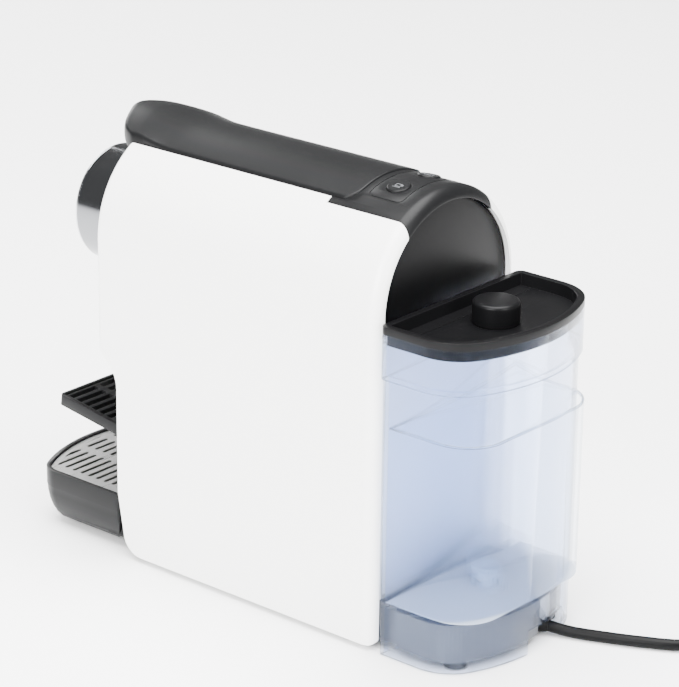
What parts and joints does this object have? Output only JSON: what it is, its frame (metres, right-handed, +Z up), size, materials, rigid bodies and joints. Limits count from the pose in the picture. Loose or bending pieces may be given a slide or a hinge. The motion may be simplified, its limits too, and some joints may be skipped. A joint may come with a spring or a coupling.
{
  "type": "pod coffee machine",
  "caption": "Arched-body pod coffee machine with lifting lever, brew cage, folding cup shelf, pull-out drip tray and lift-off water tank",
  "frame": {"origin": "middle of the footprint of the machine without its cord, at table level", "axes": "+X to the side of the small cup button, +Y from the nose towards the water tank, +Z up"},
  "size_m": [0.1949, 0.4706, 0.241],
  "materials": {
    "white_shell": "smooth white moulding with a soft shine",
    "dark_satin": "fine-grained charcoal moulding",
    "black_gloss": "polished black moulding",
    "dark_chrome": "smoked metal plating on plastic",
    "stainless": "brushed stainless sheet",
    "clear_tank": "clear pale blue moulding",
    "water": "clear water",
    "valve_blue": "grey-blue moulding",
    "button_grey": "satin button with a pale cup symbol",
    "black_rubber": "matt black rubber",
    "silicone": "translucent hose rubber",
    "board_green": "green circuit board",
    "nylon": "natural nylon moulding",
    "cast_alloy": "die-cast alloy",
    "brass_fitting": "turned brass",
    "frame_plastic": "glass-filled structural plastic",
    "bright_steel": "plain steel",
    "pump_black": "black nylon and coated coil"
  },
  "bodies": {
    "housing": {"base_chassis": "frame_plastic", "rubber_feet": "black_rubber", "side_shell_left": "white_shell", "side_shell_right": "white_shell", "front_panel": "dark_satin", "back_panel": "white_shell", "rear_cover": "black_gloss", "control_panel": "dark_satin", "button_board": "board_green", "top_deck": "dark_satin", "brew_frame": "frame_plastic", "frame_screws": "bright_steel", "inlet_gland": "brass_fitting", "extraction_plate": "stainless", "coffee_spout": "dark_satin", "nose_drum": "dark_chrome", "nose_cap": "black_gloss", "thermoblock": "cast_alloy", "thermal_fuse": "nylon", "pump_body": "pump_black", "pump_spring": "bright_steel", "pump_mounts": "black_rubber", "flow_meter": "nylon", "hose_inlet": "silicone", "hose_pump": "silicone", "hose_pressure": "silicone", "hose_brew": "silicone", "control_board": "board_green", "tank_seal": "black_rubber", "base_screws": "bright_steel", "cord_clamp": "frame_plastic", "strain_relief": "black_rubber", "power_cord": "black_rubber", "cord_coil": "black_rubber", "cord_tie": "black_rubber", "power_plug": "black_rubber"},
    "lever": {"lever": "dark_satin", "lever_axle": "bright_steel"},
    "idlers": {"idler_gears": "nylon"},
    "brew_carriage": {"brew_cage": "cast_alloy", "piercing_plate": "bright_steel", "brew_tube": "bright_steel"},
    "small_cup_button": {"button_small_cup": "button_grey"},
    "large_cup_button": {"button_large_cup": "button_grey"},
    "piston": {"pump_piston": "bright_steel"},
    "tray": {"drip_tray": "dark_satin", "pod_bin": "dark_satin", "shelf_pin": "bright_steel"},
    "grid": {"drip_grid": "stainless"},
    "shelf": {"cup_shelf": "dark_satin"},
    "tank": {"tank_body": "clear_tank", "valve_cage": "valve_blue", "valve_spring": "bright_steel"},
    "lid": {"tank_lid": "black_gloss", "lid_knob": "black_gloss"},
    "valve": {"valve_plunger": "valve_blue"}
  },
  "joints": [
    {"name": "lever_hinge", "type": "hinge", "parent": "housing", "child": "lever", "pos_m": [0, 0.037, 0.22], "axis": [-1, 0, 0], "range_deg": [0, 75]},
    {"name": "idler_spin", "type": "hinge", "parent": "housing", "child": "idlers", "pos_m": [0, 0.037, 0.1915], "axis": [-1, 0, 0], "range_deg": [-163, 0]},
    {"name": "cage_slide", "type": "slide", "parent": "housing", "child": "brew_carriage", "axis": [0, 1, 0], "range_m": [0, 0.0256]},
    {"name": "small_cup_press", "type": "slide", "parent": "housing", "child": "small_cup_button", "axis": [-0.214, 0, -0.9768], "range_m": [0, 0.001], "stiffness_N_per_m": 300},
    {"name": "large_cup_press", "type": "slide", "parent": "housing", "child": "large_cup_button", "axis": [0.214, 0, -0.9768], "range_m": [0, 0.001], "stiffness_N_per_m": 300},
    {"name": "piston_slide", "type": "slide", "parent": "housing", "child": "piston", "axis": [0, 1, 0], "range_m": [0, 0.0025], "stiffness_N_per_m": 400},
    {"name": "tray_slide", "type": "slide", "parent": "housing", "child": "tray", "axis": [0, -1, 0], "range_m": [0, 0.13]},
    {"name": "grid_lift", "type": "slide", "parent": "tray", "child": "grid", "axis": [0, 0, 1], "range_m": [0, 0.02]},
    {"name": "shelf_fold", "type": "hinge", "parent": "tray", "child": "shelf", "pos_m": [0, -0.0881, 0.0686], "axis": [-1, 0, 0], "range_deg": [-8, 65]},
    {"name": "tank_lift", "type": "slide", "parent": "housing", "child": "tank", "axis": [0, 0, 1], "range_m": [0, 0.1]},
    {"name": "lid_lift", "type": "slide", "parent": "tank", "child": "lid", "axis": [0, 0, 1], "range_m": [0, 0.05]},
    {"name": "valve_open", "type": "slide", "parent": "tank", "child": "valve", "axis": [0, 0, 1], "range_m": [0, 0.003], "stiffness_N_per_m": 150, "deforming": ["valve_spring"]}
  ],
  "couplings": [
    {"joint": "idler_spin", "follows": "lever_hinge", "ratio": -2.1667},
    {"joint": "cage_slide", "follows": "lever_hinge", "m_per_rad": 0.0195}
  ]
}
